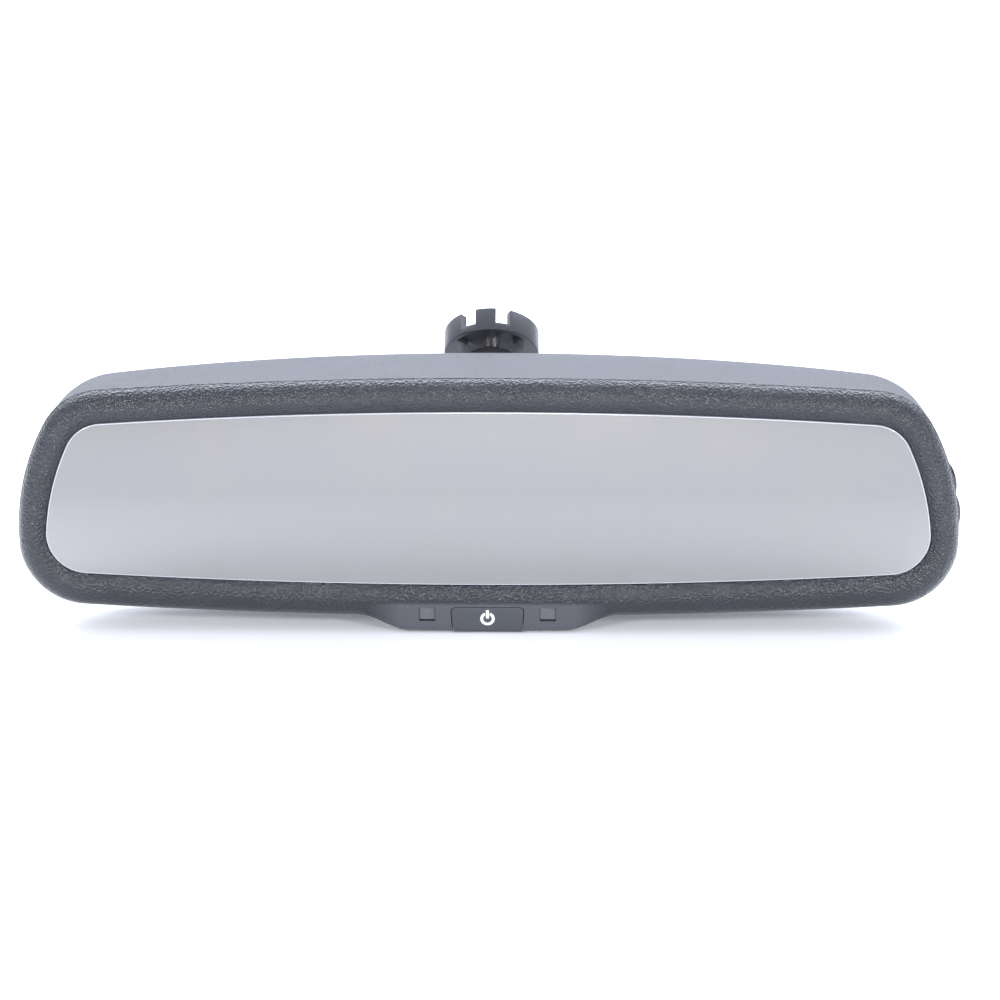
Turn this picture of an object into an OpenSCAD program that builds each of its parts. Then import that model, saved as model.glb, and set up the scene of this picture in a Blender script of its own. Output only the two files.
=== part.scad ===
// Interior rear-view mirror: a self-dimming mirror head on a double-ball arm,
// which ends in a castellated socket for the windscreen button.
//
// Head coordinates: X to the driver's right, Y away from the driver, Z up,
// zero at the middle of the glass's front face. Every sub-part is drawn there
// and then moved so that the origin of the part is the middle of the socket.

/* [Glass outline] */
// Height of the glass's top edge above its middle
glass_top = 24.4; // [23:0.1:26]
// Radius of the long, slightly crowned top edge
glass_top_r = 1596; // [1200:1:2400]
// Distance from the middle to the centre of an upper corner
glass_corner_x = 103.1; // [100:0.1:106]
// Radius of an upper corner
glass_corner_r = 11; // [9:0.1:13]
// Radius of a leaning side
glass_side_r = 71.8; // [60:0.1:85]
// Radius of a lower corner
glass_low_r = 10.8; // [9:0.1:12.5]

/* [Bezel outline] */
// Height of the bezel's top edge above the middle of the glass
bezel_top = 33.2; // [32:0.1:35]
// Radius of the bezel's top edge
bezel_top_r = 1614; // [1200:1:2400]
// Distance from the middle to the centre of an upper corner
bezel_corner_x = 103.1; // [101:0.1:105]
// Radius of an upper corner
bezel_corner_r = 18.7; // [17:0.1:21]
// Radius of a leaning side
bezel_side_r = 64.6; // [58:0.1:75]
// Radius of a lower corner
bezel_low_r = 18; // [15:0.1:20]

/* [Bezel section] */
// Height of the bezel's bead in front of the glass
bead_rise = 1.2; // [0.6:0.1:2]
// Radius of the bead
bead_r = 5.3; // [5:0.1:5.6]
// Gap between the glass's edge and the bezel
glass_gap = 0.15; // [0.1:0.05:0.5]

/* [Rear housing] */
// Distance from the glass plane back to the joint between bezel and housing
parting_y = 3; // [2.8:0.1:3.3]
// Depth of the housing behind the joint at an end
end_depth = 8; // [7.5:0.1:13]
// Depth of the housing behind the joint at the middle
mid_depth = 37.9; // [36:0.1:39]
// Wall thickness of the housing
wall = 2.2; // [1.8:0.1:2.4]

/* [Chin and keys] */
// Depth of the chin below the bezel
chin_drop = 4.2; // [3.5:0.1:5]
// Width of the power key at its top
key_w = 19.8; // [17:0.1:21]
// Height of a side key above the housing
side_key_rise = 1.1; // [0.7:0.1:1.4]

/* [Arm and socket] */
// Slope of the arm above the horizontal
arm_angle = 43.7; // [42:0.1:45]
// Distance of the socket's lower face behind the glass
socket_y = 70; // [68:0.5:74]
// Height of the socket's lower face above the middle of the glass
socket_z = 23.2; // [22:0.1:25]
// Outer radius of the socket
socket_r = 14; // [13.8:0.1:15]
// Radius of the socket's bore
bore_r = 11.6; // [11:0.1:12]
// Outer radius of the arm tube
tube_r = 8.3; // [8.2:0.1:8.6]
// Radius of each ball
ball_r = 6; // [5.9:0.1:6]
// Distance between the two balls
ball_gap = 27.5; // [26:0.5:29]
// Slope of the head's ball stud above the horizontal
stud_angle = 30; // [25:1:34]

/* [Hidden] */

$fn = 64;
eps = 0.01;
snug = 0.05;                     // clearance between pieces of one body
sliding = 0.2;                   // clearance round a key

// Outline of the glass and of the bezel: crown, corners, leaning side.
glass = [glass_top, glass_top_r, glass_corner_x, glass_corner_r, 25.9,
         glass_side_r, 5.8, glass_low_r, -86.73];
bezel_edge = [bezel_top, bezel_top_r, bezel_corner_x, bezel_corner_r, 29.93,
              bezel_side_r, -1.56, bezel_low_r, -86.72];
arc_steps = [16, 6, 4, 6, 16];
half_steps = 48;                 // sum of arc_steps
low_crowding = 1.3;              // above 1, the lower edge's points crowd to its middle
half_width = 127.9;              // widest point of the bezel
spine_x = 92;                    // half length of the housing's ridge line
shape_power = 10;                // how square the housing's section is
depth_power = 0.48;              // below 0.5, the back is flatter than an ellipse

// Layers of the glass, from the driver backwards.
front_glass_t = 1.1;
gel_t = 0.2;
rear_glass_t = 2;
pad_y = 3.5;
carrier_y = 4.5;
carrier_back = 6;
rear_glass_y = front_glass_t + gel_t;

// Main board and what stands on it.
board_y = 18;
board_back = 19.6;
boss_x = 50;
boss_z = 13;
socket_at = [-38, 2];
lens_at = [38, 4];
lens_r = 3;
lens_end = 38.6;                 // where the light guide's dome begins

// Chin.
chin_root = 35.8;
chin_flat = 21.5;
chin_back = 12;
key_top_z = -30.5;
key_low_z = -38.1;
window_x = 16.5;
window_z = -32.5;
window_size = [4.4, 4];
window_slit = 0.4;                // gap under the block's face
chin_board_y = 7.1;

// Side keys, as heights of their ends.
side_keys = [[0.15, 8.8], [-9.2, -0.15]];
side_key_y = [5.2, 11];
side_board_x = 117.5;

// Arm, with w measured along it from the socket's lower face.
upper_ball_w = -6;
lower_ball_w = upper_ball_w - ball_gap;
rim_w = 3.8;                     // tube end beyond each ball's centre
lip_r = 5.55;
seat_gap = 0.06;
cup_t = 0.8;
tube_bore = 7;
backing_len = 8.4;
shank_r = 3.1;
floor_w = [1.2, 2.4];
mouth_w = 7.4;
origin_w = (floor_w[1] + mouth_w) / 2;
arm_dir = [0, cos(arm_angle), sin(arm_angle)];
socket_face = [0, socket_y, socket_z];
origin = socket_face + origin_w * arm_dir;
head_ball = socket_face + lower_ball_w * arm_dir;
stud_dir = [0, cos(stud_angle), sin(stud_angle)];

// Pivot plate inside the housing.
plate_y = [28, 30];
plate_size = [52, 34];
plate_screws = [[-20, -12], [20, -12], [-20, 12], [20, 12]];
stud_foot = head_ball - stud_dir * (head_ball[1] - plate_y[1]) / stud_dir[1];
arm_hole_z = -1;
arm_hole_r = 12.5;
boss_end = 39;                   // inside the housing's rear wall
cut_y = [33, 45];                // reach of the cuts through the rear wall

// Colours.
black_plastic = [0.13, 0.13, 0.14];
board_green = [0.05, 0.3, 0.15];
steel = [0.62, 0.63, 0.66];
smoke = [0.45, 0.45, 0.47];

// ---------------------------------------------------------------- outlines

function dir(a) = [cos(a), sin(a)];

// The five arcs of the right half, each [centre, radius, first and last angle].
function arcs(o) =
    let (a1 = acos(o[2] / (o[1] - o[3])),
         c1 = [0, o[0] - o[1]],
         c2 = c1 + (o[1] - o[3]) * dir(a1),
         c3 = c2 + (o[3] - o[5]) * dir(o[4]),
         c4 = c3 + (o[5] - o[7]) * dir(o[6]),
         r5 = o[7] + c4[0] / cos(o[8]),
         c5 = c4 + (o[7] - r5) * dir(o[8]))
    [[c1, o[1], 90, a1], [c2, o[3], a1, o[4]], [c3, o[5], o[4], o[6]],
     [c4, o[7], o[6], o[8]], [c5, r5, o[8], -90]];

// Right half from the top middle to the bottom middle, set in by t.
function half(o, t) =
    let (list = arcs(o))
    concat(
        [for (k = [0:4], i = [0:arc_steps[k] - 1])
            let (arc = list[k], u = i / arc_steps[k],
                 a = arc[2] + (arc[3] - arc[2]) * (k == 4 ? 1 - pow(1 - u, low_crowding) : u))
            arc[0] + (arc[1] - t) * dir(a)],
        [list[4][0] + (list[4][1] - t) * dir(-90)]);

// The whole outline, clockwise as the driver sees it.
function loop(o, t = 0) =
    let (h = half(o, t))
    concat(h, [for (i = [half_steps - 1:-1:1]) [-h[i][0], h[i][1]]]);

function mix(p, q, u) = p + (q - p) * u;
function smooth(s) = let (c = max(0, min(1, s))) c * c * (3 - 2 * c);

// Skin over a list of rings with equal counts. Ring 0 faces its viewer clockwise.
module loft(rings, closed = false, split = false) {
    n = len(rings[0]);
    m = len(rings);
    last = closed ? m - 1 : m - 2;
    sides = [for (j = [0:last], i = [0:n - 1])
        let (a = j * n + i,
             b = ((j + 1) % m) * n + i,
             c = ((j + 1) % m) * n + (i + 1) % n,
             d = j * n + (i + 1) % n)
        each [[a, b, c], [a, c, d]]];
    flat_caps = [[for (i = [0:n - 1]) i], [for (i = [n - 1:-1:0]) (m - 1) * n + i]];
    caps = closed ? [] : split ? concat(split_cap(n, 0, false), split_cap(n, (m - 1) * n, true))
        : flat_caps;
    polyhedron([for (r = rings) each r], concat(sides, caps));
}

// Closes a left-right symmetrical ring with strips from its upper to its lower edge.
function split_cap(n, base, flip) =
    let (h = n / 2)
    [for (side = [0, 1], i = [0:h / 2 - 1])
        let (idx = function(k) base + (side == 0 ? k : (n - k) % n),
             q = [idx(i), idx(i + 1), idx(h - i - 1), idx(h - i)],
             turn = (side == 1) != flip)
        each [for (tri = (i + 1 == h - i - 1)
                ? [[q[0], q[1], q[3]]]
                : [[q[0], q[1], q[2]], [q[0], q[2], q[3]]])
            turn ? [tri[2], tri[1], tri[0]] : tri]];

// ------------------------------------------------------------------ placing

// From head coordinates to the part's origin.
module head_frame() {
    translate(-origin) children();
}

// Stands Z along the arm, with zero at the distance w from the socket's face.
module along_arm(w = 0) {
    translate(-origin + socket_face + w * arm_dir)
        rotate([arm_angle - 90, 0, 0]) children();
}

// An upright plate or prism: a drawing in X and Z, thickened from y0 to y1.
module slab(y0, y1) {
    translate([0, y1, 0]) rotate([90, 0, 0]) linear_extrude(y1 - y0) children();
}

// A drawing in Y and Z, thickened across X.
module across(x0, x1) {
    translate([x0, 0, 0]) rotate([90, 0, 90]) linear_extrude(x1 - x0) children();
}

// A round bar along Y.
module rod_y(r, y0, y1, at = [0, 0]) {
    translate([at[0], y0, at[1]]) rotate([-90, 0, 0]) cylinder(r = r, h = y1 - y0);
}

module box(x, y, z) {
    translate([x[0], y[0], z[0]]) cube([x[1] - x[0], y[1] - y[0], z[1] - z[0]]);
}

// -------------------------------------------------------------------- bezel

bead_tilt = [45, 75];            // slope of the bead at the glass and at the joint
bead_centre_y = bead_r - bead_rise;
bead_start = bead_r * sin(bead_tilt[0]);
band = bead_start + bead_r * sin(bead_tilt[1]) + 0.2;

// Bezel section as [distance out from the glass, y]: its front, then its back.
bead_front = [for (i = [0:11])
    let (a = -bead_tilt[0] + (bead_tilt[0] + bead_tilt[1]) * i / 11)
    [bead_start + bead_r * sin(a), bead_centre_y - bead_r * cos(a)]];
bead_back = [[band, parting_y], [band - 0.5, parting_y], [band - 1.1, parting_y],
             [band - 1.7, parting_y], [band - 1.9, 2.7], [band - 2.3, 2.2], [5.6, 1.5],
             [4.2, 1], [3.4, 0.85], [1.6, 1.3], [1.25, 2.2], [1.25, 4.2], [0.05, 4.2]];

// The same section through the chin, as a hollow box behind its face.
low = 8.5 + chin_drop;
chin_front = concat([for (i = [0:4]) bead_front[i]],
    [[4.7, -1.05], [7.5, -0.62], [low - 1.7, -0.25], [low - 0.8, 0.1], [low - 0.3, 0.8],
     [low, 1.9], [low, 4]]);
chin_rear = concat(
    [[low, 8.5], [low - 0.25, chin_back - 0.8], [low - 0.8, chin_back], [6.8, chin_back],
     [6.8, chin_back - 1.4], [low - 1.65, chin_back - 1.6], [low - 1.65, 1.1]],
    [for (i = [7:12]) bead_back[i]]);

function chin_share(x) = smooth((chin_root - abs(x)) / (chin_root - chin_flat));

module bezel_shell() {
    inner = loop(glass, -glass_gap);
    outer = loop(bezel_edge);
    bead = concat(bead_front, bead_back);
    chin = concat(chin_front, chin_rear);
    loft([for (k = [0:len(bead) - 1])
        [for (i = [0:len(inner) - 1])
            let (p = mix(bead[k], chin[k], outer[i][1] < 0 ? chin_share(outer[i][0]) : 0),
                 q = mix(inner[i], outer[i], p[0] / band))
            [q[0], p[1], q[1]]]], closed = true);
}

// Outline of the power key seen from the front, grown by g: it narrows downwards.
module key_outline(g) {
    r = 1.3 + g;
    w = key_w / 2 + g;
    top = key_top_z + g;
    for (side = [-1, 1]) translate([side * (w - r), top - r]) circle(r);
    polygon([[-(w - r), top], [w - r, top], [w - r, top - r], [-(w - r), top - r]]);
    polygon([[-w, top - r], [w, top - r], [w - 0.6, key_low_z - 2], [0.6 - w, key_low_z - 2]]);
}

module window_hole(side, grow, y0, y1, slit = 0) {
    c = [side * window_x, window_z];
    h = window_size / 2 + [grow, grow];
    box([c[0] - h[0], c[0] + h[0]], [y0, y1], [c[1] - h[1] + slit, c[1] + h[1]]);
}

module bezel() {
    color(black_plastic) head_frame() difference() {
        bezel_shell();
        // opening of the power key, in front and below
        slab(-3, 1.6) key_outline(sliding);
        box([-9.7, 9.7], [1.5, 8.4], [-41, -36]);
        for (side = [-1, 1]) window_hole(side, snug, -3, 1.6);
    }
}

// ------------------------------------------------------------- rear housing

// Depth behind the joint at a distance x from the middle.
function depth(x) =
    let (u = min(1, abs(x) / half_width))
    end_depth + (mid_depth - end_depth) * pow(1 - u * u, depth_power);

// One ring of the housing: k is 1 at the joint and falls towards the ridge line.
function housing_ring(k, t) =
    let (rise = pow(1 - pow(k, shape_power), 1 / shape_power))
    [for (p = loop(bezel_edge, t))
        let (sx = max(-spine_x, min(spine_x, p[0] * 0.8)),
             x = sx + (p[0] - sx) * k)
        [x, parting_y + rise * (depth(x) - t), p[1] * k]];

// Right half of the notch over the chin, seen from above.
chin_plan = [[38.4, 0], [38.4, 3.7], [29.9, 7.6], [23.7, 12.3], [21.7, chin_back + 0.6]];

ring_scales = [1, 0.9994, 0.997, 0.989, 0.978, 0.958, 0.926, 0.875, 0.82, 0.74, 0.59, 0.35, 0.12];

module housing_shell() {
    front_edge = function(t) [for (p = loop(bezel_edge, t)) [p[0], parting_y + 0.35, p[1]]];
    loft(concat(
        [for (i = [len(ring_scales) - 1:-1:1]) housing_ring(ring_scales[i], wall)],
        [front_edge(wall)], [front_edge(0.15)],
        [for (i = [1:len(ring_scales) - 1]) housing_ring(ring_scales[i], 0.15)]),
        split = true);
}

// Cut-out for a side key, following the leaning side.
function side_angle(z) = let (arc = arcs(bezel_edge)[2]) asin((z - arc[0][1]) / arc[1]);
function side_point(z, t) =
    let (arc = arcs(bezel_edge)[2]) arc[0] + (arc[1] - t) * dir(side_angle(z));

module side_key_body(ends, rise, depth_in, grow) {
    steps = 10;
    lo = ends[0] - grow;
    hi = ends[1] + grow;
    slab(side_key_y[0] - grow, side_key_y[1] + grow)
        polygon(concat(
            [for (i = [0:steps])
                let (s = i / steps, bulge = rise * pow(sin(180 * s), 0.5))
                side_point(lo + (hi - lo) * s, -bulge)],
            [side_point(hi, depth_in), side_point(lo, depth_in)]));
}

module rear_housing() {
    color(black_plastic) head_frame() difference() {
        union() {
            housing_shell();
            for (p = plate_screws) rod_y(3.4, plate_y[1], boss_end, p);
        }
        for (p = plate_screws) rod_y(1.3, plate_y[1] - 1, 34, p);
        // opening for the arm
        rod_y(arm_hole_r, cut_y[0], cut_y[1], [0, arm_hole_z]);
        // openings for the harness socket and the light guide
        box([socket_at[0] - 9.2, socket_at[0] + 9.2], cut_y,
            [socket_at[1] - 5.7, socket_at[1] + 5.7]);
        rod_y(lens_r + snug, cut_y[0], cut_y[1], lens_at);
        // openings for the side keys
        for (ends = side_keys) side_key_body(ends, 4, 6, sliding);
        // notch over the chin
        translate([0, 0, -40]) linear_extrude(8.8) polygon(concat(
            [for (p = chin_plan) [p[0], p[1]]],
            [for (i = [len(chin_plan) - 1:-1:0]) [-chin_plan[i][0], chin_plan[i][1]]]));
    }
}

// -------------------------------------------------------------------- glass

module front_glass() {
    color([0.78, 0.78, 0.82]) head_frame()
        slab(0, front_glass_t) polygon(loop(glass));
}

module gel_seal() {
    color("dimgray") head_frame() slab(front_glass_t, rear_glass_y) difference() {
        polygon(loop(glass, 1.3));
        polygon(loop(glass, 3));
    }
}

module dimming_gel() {
    color([0.75, 0.8, 0.75]) head_frame()
        slab(front_glass_t, rear_glass_y) polygon(loop(glass, 3));
}

module rear_glass() {
    color("silver") head_frame()
        slab(rear_glass_y, rear_glass_y + rear_glass_t) polygon(loop(glass, 1.3));
}

// A springy strip that grips one long edge of the rear glass.
module bus_clip(side) {
    edge = side > 0 ? glass_top - 1.3 : 24.2 - 1.3;
    back = rear_glass_y + rear_glass_t;
    color("goldenrod") head_frame() mirror([0, 0, side > 0 ? 0 : 1]) {
        box([-20, 20], [back, back + 0.15], [edge - 2.4, edge + 0.25]);
        box([-20, 20], [rear_glass_y + snug, back], [edge + 0.1, edge + 0.25]);
        box([-24, -20], [back, back + 0.15], [edge - 2.4, edge - 0.6]);
    }
}

module upper_bus_clip() { bus_clip(1); }
module lower_bus_clip() { bus_clip(-1); }

module glass_pad() {
    color("gray") head_frame() slab(pad_y, carrier_y) difference() {
        polygon(loop(glass, 4.6));
        translate([-8, -5]) square([16, 10]);
    }
}

module carrier_plate() {
    color("whitesmoke") head_frame() difference() {
        union() {
            slab(carrier_y, carrier_back) polygon(loop(glass, -2.4));
            slab(carrier_back, carrier_back + 1.6) difference() {
                polygon(loop(glass, 3.6));
                polygon(loop(glass, 5));
            }
            for (x = [-boss_x, boss_x], z = [-boss_z, boss_z])
                rod_y(3, carrier_back - eps, board_y, [x, z]);
        }
        for (x = [-boss_x, boss_x], z = [-boss_z, boss_z])
            rod_y(1.25, carrier_back + 1, board_y + 1, [x, z]);
        box([-8, 8], [0, 10], [-5, 5]);
    }
}

// --------------------------------------------------------------- main board

module main_board() {
    color(board_green) head_frame() slab(board_y, board_back) difference() {
        translate([-60, -18]) square([120, 36]);
        for (x = [-boss_x, boss_x], z = [-boss_z, boss_z]) translate([x, z]) circle(1.6);
        translate([lens_at[0], -15]) circle(1);
    }
}

module chip(x, z, w, h, t) {
    box([x - w / 2, x + w / 2], [board_back, board_back + t], [z - h / 2, z + h / 2]);
    for (s = [-1, 1], i = [-2:2])
        box([x + i * w / 6 - 0.25, x + i * w / 6 + 0.25], [board_back, board_back + 0.4],
            [z + s * h / 2 - (s < 0 ? 1 : 0), z + s * h / 2 + (s > 0 ? 1 : 0)]);
}

module board_chips() {
    color("black") head_frame() {
        chip(12, 8, 10, 10, 1.4);
        chip(-14, 9, 7, 5, 1.5);
        chip(20, -9, 8, 5, 1.6);
        for (i = [0:5])
            box([-26 + 5 * i, -23.5 + 5 * i], [board_back, board_back + 0.8], [-12, -10.6]);
    }
}

module board_capacitors() {
    color("gainsboro") head_frame() {
        rod_y(3.1, board_back, board_back + 5.5, [-52 + 6, -7]);
        rod_y(3.1, board_back, board_back + 5.5, [52 - 6, -9]);
        rod_y(2.4, board_back, board_back + 4.6, [53, 3]);
    }
}

module board_screws() {
    color(steel) head_frame()
        for (x = [-boss_x, boss_x], z = [-boss_z, boss_z]) difference() {
            union() {
                rod_y(1.2, board_y - 9, board_back, [x, z]);
                rod_y(2.5, board_back, board_back + 1.7, [x, z]);
            }
            box([x - 1.4, x + 1.4], [board_back + 0.9, board_back + 3], [z - 0.3, z + 0.3]);
            box([x - 0.3, x + 0.3], [board_back + 0.9, board_back + 3], [z - 1.4, z + 1.4]);
        }
}

socket_cavity = [14.8, 8];
socket_floor = 29.3;
socket_end = 38.2;

module harness_socket() {
    color([0.2, 0.2, 0.21]) head_frame() translate([socket_at[0], 0, socket_at[1]]) difference() {
        union() {
            box([-9, 9], [board_back, socket_end], [-5.5, 5.5]);
            // ramp for the plug's latch
            box([-3, 3], [22, 35.8], [5.5, 7.2]);
        }
        box([-socket_cavity[0] / 2, socket_cavity[0] / 2], [socket_floor, 45],
            [-socket_cavity[1] / 2, socket_cavity[1] / 2]);
        for (i = [-2:2], s = [-1, 1])
            box([2.54 * i - 0.34, 2.54 * i + 0.34], [board_back - 1, socket_floor + 1],
                [1.27 * s - 0.34, 1.27 * s + 0.34]);
    }
}

module socket_pins() {
    color("gold") head_frame() translate([socket_at[0], 0, socket_at[1]])
        for (i = [-2:2], s = [-1, 1])
            box([2.54 * i - 0.32, 2.54 * i + 0.32], [board_back + snug, socket_floor + 4],
                [1.27 * s - 0.32, 1.27 * s + 0.32]);
}

module ambient_sensor() {
    color([0.3, 0.28, 0.3]) head_frame() {
        box([lens_at[0] - 2.2, lens_at[0] + 2.2], [board_back, board_back + 1.2],
            [lens_at[1] - 1.8, lens_at[1] + 1.8]);
        rod_y(1.3, board_back + 1.2, board_back + 1.9, lens_at);
    }
}

// Light guide from the sensor to the rear face, with a domed end.
module ambient_lens() {
    color(smoke) head_frame() {
        rod_y(lens_r, board_back + 2.4, lens_end, lens_at);
        rod_y(lens_r + 1.4, lens_end - 4.8, lens_end - 3.4, lens_at);
        intersection() {
            translate([lens_at[0], lens_end - 5.4, lens_at[1]]) sphere(6.2);
            rod_y(lens_r, lens_end - 0.1, lens_end + 2, lens_at);
        }
    }
}

// ---------------------------------------------------------------- chin parts

module chin_board() {
    color(board_green) head_frame()
        box([-19.8, 19.8], [chin_board_y, chin_board_y + 1.2], [-36, -27.4]);
}

module glare_sensor() {
    color([0.2, 0.18, 0.2]) head_frame() {
        box([window_x - 2, window_x + 2], [chin_board_y - 1.2, chin_board_y],
            [window_z - 1.6, window_z + 1.6]);
        translate([window_x, chin_board_y - 1.2, window_z]) intersection() {
            sphere(1.2);
            box([-2, 2], [-2, 0], [-2, 2]);
        }
    }
}

module indicator_led() {
    color("lightgreen") head_frame() {
        rod_y(1.5, chin_board_y - 1, chin_board_y, [-window_x, window_z]);
        rod_y(1.2, chin_board_y - 2.2, chin_board_y - 1, [-window_x, window_z]);
        translate([-window_x, chin_board_y - 2.2, window_z]) sphere(1.2);
    }
}

// A clear block set back in its opening, with a flange behind the chin's wall.
module window_block(side) {
    head_frame() {
        window_hole(side, 0, -0.1, 1.1 + snug, window_slit);
        window_hole(side, 0.7, 1.1 + snug, 2.2);
        window_hole(side, -0.6, 2.2, 3.4);
    }
}

module sensor_window() { color(smoke) window_block(1); }
module indicator_window() { color(smoke) window_block(-1); }

switch_z = -33;

module key_switch() {
    color([0.25, 0.25, 0.27]) head_frame() difference() {
        union() {
            box([-3, 3], [3.8, chin_board_y], [switch_z - 2.6, switch_z + 2.6]);
            rod_y(1.9, 3.4, 3.8, [0, switch_z]);
        }
        rod_y(1.3, 3, 5.6, [0, switch_z]);
    }
}

// A flat flexible lead with a few bends, drawn in Y and Z.
module ribbon(points, width, t) {
    n = len(points);
    across(-width / 2, width / 2)
        polygon(concat(points, [for (i = [n - 1:-1:0]) points[i] + [t, -t]]));
}

module chin_ribbon() {
    color("sienna") head_frame() translate([-13, 0, 0])
        ribbon([[8.35, -33], [8.35, -27.5], [10.4, -24], [14.6, -19.5], [17.6, -17.2]], 7, 0.3);
}

// ---------------------------------------------------------------- side board

module side_board() {
    color(board_green) head_frame()
        box([side_board_x, side_board_x + 1.2], [6.4, 12.4], [-9.6, 9.4]);
}

function middle(ends) = (ends[0] + ends[1]) / 2;
switch_x = side_board_x + 1.2;
plunger_y = 8.2;
plunger_r = 0.9;
key_back = 3.2;

module side_switches() {
    color([0.25, 0.25, 0.27]) head_frame() for (ends = side_keys) difference() {
        box([switch_x, switch_x + 2.6], [plunger_y - 2, plunger_y + 2],
            [middle(ends) - 2.2, middle(ends) + 2.2]);
        translate([switch_x + 0.8, plunger_y, middle(ends)]) rotate([0, 90, 0])
            cylinder(r = 1, h = 3);
    }
}

module side_ribbon() {
    color("sienna") head_frame() translate([0, 0, -4])
        linear_extrude(8) polygon([[60.4, 17.6], [72, 17.2], [108, 15.4], [114.6, 12.8], [117.3, 9.6],
            [117.3, 9.2], [114.4, 12.4], [107.9, 15.1], [72, 16.9], [60.4, 17.3]]);
}

// --------------------------------------------------------------------- keys

// Section of the power key in Y and Z: a face that turns under the chin.
function key_section() = concat(
    [[-0.95, key_top_z + 2], [-0.6, -32.6], [-0.25, -36.4]],
    [for (i = [1:5]) let (a = 180 + 90 * i / 5) [1.25 + 1.5 * cos(a), -36.6 + 1.5 * sin(a)]],
    [[7.6, key_low_z + 0.15], [7.6, key_low_z + 1.25], [1.9, key_low_z + 1.25],
     [1, -36], [0.9, key_top_z + 2]]);

module power_key() {
    color([0.16, 0.16, 0.17]) head_frame() difference() {
        intersection() {
            across(-12, 12) polygon(key_section());
            union() {
                slab(-3, 1.1) key_outline(0);
                box([-9.2, 9.2], [1.1 - eps, 9], [-41, -36]);
            }
        }
        power_mark(0.02);
    }
}

// Ring open at the top with an upright bar, sunk into the key's face.
module power_mark(grow) {
    translate([0, 0, -33.8]) slab(-1.5, 0.1) {
        difference() {
            circle(1.95 + grow);
            circle(1.2 - grow);
            translate([-0.7 + grow, 0]) square([1.4 - 2 * grow, 3]);
        }
        translate([-0.42 - grow, 0.1 - grow]) square([0.84 + 2 * grow, 2.4 + 2 * grow]);
    }
}

module power_symbol() {
    color("white") head_frame() intersection() {
        power_mark(0);
        across(-3, 3) polygon(key_section());
    }
}

module power_plunger() {
    color("beige") head_frame() {
        rod_y(1.2, 1 + snug, 4.6, [0, switch_z]);
        rod_y(2, 1 + snug, 1.6, [0, switch_z]);
    }
}

module side_key(ends) {
    color([0.05, 0.05, 0.06]) head_frame() side_key_body(ends, side_key_rise, key_back, 0);
}

module side_plunger(ends) {
    low = side_point(ends[0], key_back);
    high = side_point(ends[1], key_back);
    // the key's sloping back is nearest at the upper or the lower edge of the plunger
    x0 = min([for (s = [-1, 1])
        mix(low, high, (middle(ends) + s * plunger_r - low[1]) / (high[1] - low[1]))[0]]) - snug;
    color("beige") head_frame() translate([switch_x + 1.4, plunger_y, middle(ends)])
        rotate([0, 90, 0]) cylinder(r = plunger_r, h = x0 - switch_x - 1.4);
}

module upper_side_key() { side_key(side_keys[0]); }
module lower_side_key() { side_key(side_keys[1]); }
module upper_side_plunger() { side_plunger(side_keys[0]); }
module lower_side_plunger() { side_plunger(side_keys[1]); }

// -------------------------------------------------------------- pivot plate

module pivot_plate() {
    color(steel) head_frame() difference() {
        slab(plate_y[0], plate_y[1]) translate(-plate_size / 2) square(plate_size);
        rod_y(3.5 + snug, 20, 40, [0, stud_foot[2]]);
        for (p = plate_screws) rod_y(1.7, 20, 40, p);
        for (s = [-1, 1]) rod_y(3.5, 20, 40, [s * 13, 5]);
    }
}

module pivot_plate_screws() {
    color("silver") head_frame() for (p = plate_screws) difference() {
        union() {
            rod_y(1.25, plate_y[0], 33.6, p);
            rod_y(2.8, plate_y[0] - 1.8, plate_y[0], p);
        }
        translate([p[0], plate_y[0] - 3, p[1]]) rotate([-90, 30, 0]) cylinder(r = 1.2, h = 2.3, $fn = 6);
    }
}

module head_ball_stud() {
    reach = (head_ball[1] - plate_y[1]) / stud_dir[1];
    color("silver") head_frame() {
        translate(head_ball) sphere(ball_r);
        difference() {
            translate(head_ball) rotate([90 + stud_angle, 0, 0]) cylinder(r = shank_r, h = reach + 1);
            box([-20, 20], [20, plate_y[1]], [-40, 20]);
        }
        rod_y(5.4, plate_y[1], plate_y[1] + 2, [0, stud_foot[2]]);
        rod_y(3.5, plate_y[0], plate_y[1] + 1, [0, stud_foot[2]]);
        rod_y(4.6, plate_y[0] - 1.4, plate_y[0], [0, stud_foot[2]]);
    }
}

// ---------------------------------------------------------------------- arm

// A spherical nylon cup behind a ball; side is 1 when it opens up the arm.
module ball_cup(w, side) {
    r_in = ball_r + seat_gap;
    along_arm(w) intersection() {
        difference() {
            sphere(r_in + cup_t);
            sphere(r_in);
        }
        translate([-10, -10, side > 0 ? -10 : 2.7]) cube([20, 20, 7.3]);
    }
}

// A steel plug in the tube that presses the cup onto its ball.
module backing_cup(w, side) {
    along_arm(w) mirror([0, 0, side > 0 ? 1 : 0]) difference() {
        translate([0, 0, 3.2]) cylinder(r = tube_bore - seat_gap, h = backing_len - 3.2);
        sphere(ball_r + cup_t + 2 * seat_gap);
    }
}

module lower_ball_cup() { color("ivory") ball_cup(lower_ball_w, -1); }
module upper_ball_cup() { color("ivory") ball_cup(upper_ball_w, 1); }
module lower_backing_cup() { color(steel) backing_cup(lower_ball_w, -1); }
module upper_backing_cup() { color(steel) backing_cup(upper_ball_w, 1); }

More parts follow.
